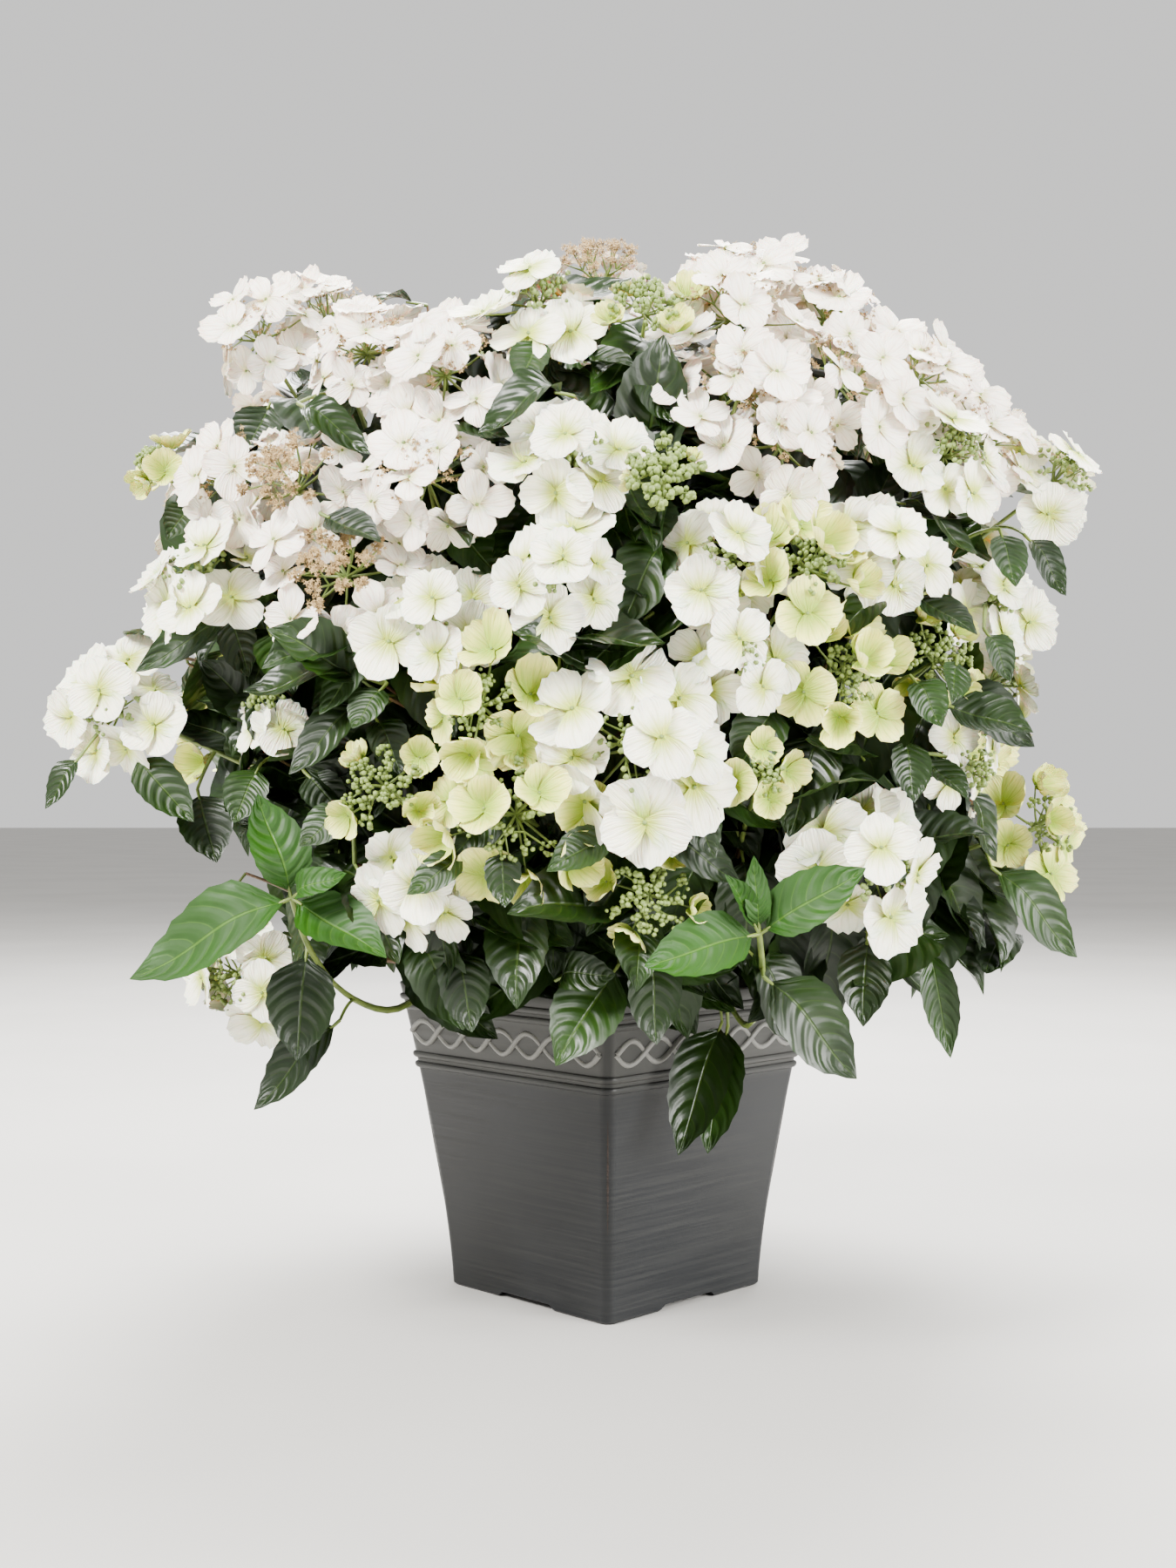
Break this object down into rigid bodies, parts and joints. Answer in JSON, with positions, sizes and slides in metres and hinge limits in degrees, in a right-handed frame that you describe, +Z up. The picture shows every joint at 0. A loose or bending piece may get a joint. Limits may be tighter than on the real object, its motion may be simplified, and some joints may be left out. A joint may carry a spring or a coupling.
{
  "type": "potted lacecap hydrangea shrub",
  "caption": "Round flowering hydrangea shrub with white lacecap heads and glossy leaves, growing from a square flared planter that stands on its flat underside.",
  "frame": {"origin": "centre of the planter's flat underside", "axes": "+Z up, -Y towards the viewer of the picture and along one diagonal of the square planter, +X to the viewer's right along the other diagonal"},
  "size_m": [0.7068, 0.6244, 0.7502],
  "materials": {
    "planter": "satin grey with a faint brushed grain, rubbed lighter on the raised beads and the wave band",
    "soil": "dark moist crumbly potting mix of peat and bark",
    "stem_bark": "smooth young bark, green to red brown, with leaf scars",
    "foliage_and_blossom": "glossy dark green toothed leaves with pale veins, soft white florets with lime centres, green bud clusters"
  },
  "bodies": {
    "root": {"cane_back_left": "stem_bark", "cane_back_left_top": "stem_bark", "cane_back_middle": "stem_bark", "cane_back_right": "stem_bark", "cane_back_right_top": "stem_bark", "cane_back_skirt": "stem_bark", "cane_back_top": "stem_bark", "cane_crown_top": "stem_bark", "cane_front": "stem_bark", "cane_left_shoot": "stem_bark", "cane_left_side": "stem_bark", "cane_left_skirt": "stem_bark", "cane_left_wing": "stem_bark", "cane_low_centre": "stem_bark", "cane_low_left": "stem_bark", "cane_low_right": "stem_bark", "cane_middle": "stem_bark", "cane_middle_left": "stem_bark", "cane_middle_right": "stem_bark", "cane_right_middle": "stem_bark", "cane_right_shoulder": "stem_bark", "cane_right_side": "stem_bark", "cane_right_skirt": "stem_bark", "cane_top_left": "stem_bark", "cane_top_right": "stem_bark", "cane_upper_centre": "stem_bark", "cane_upper_left": "stem_bark", "mass_back_left": "foliage_and_blossom", "mass_back_left_top": "foliage_and_blossom", "mass_back_middle": "foliage_and_blossom", "mass_back_right": "foliage_and_blossom", "mass_back_right_top": "foliage_and_blossom", "mass_back_skirt": "foliage_and_blossom", "mass_back_top": "foliage_and_blossom", "mass_crown_top": "foliage_and_blossom", "mass_front": "foliage_and_blossom", "mass_left_shoot": "foliage_and_blossom", "mass_left_side": "foliage_and_blossom", "mass_left_skirt": "foliage_and_blossom", "mass_left_wing": "foliage_and_blossom", "mass_low_centre": "foliage_and_blossom", "mass_low_left": "foliage_and_blossom", "mass_low_right": "foliage_and_blossom", "mass_middle": "foliage_and_blossom", "mass_middle_left": "foliage_and_blossom", "mass_middle_right": "foliage_and_blossom", "mass_right_middle": "foliage_and_blossom", "mass_right_shoulder": "foliage_and_blossom", "mass_right_side": "foliage_and_blossom", "mass_right_skirt": "foliage_and_blossom", "mass_top_left": "foliage_and_blossom", "mass_top_right": "foliage_and_blossom", "mass_upper_centre": "foliage_and_blossom", "mass_upper_left": "foliage_and_blossom", "planter": "planter", "potting_soil": "soil", "short_stem": "stem_bark"}
  },
  "joints": []
}
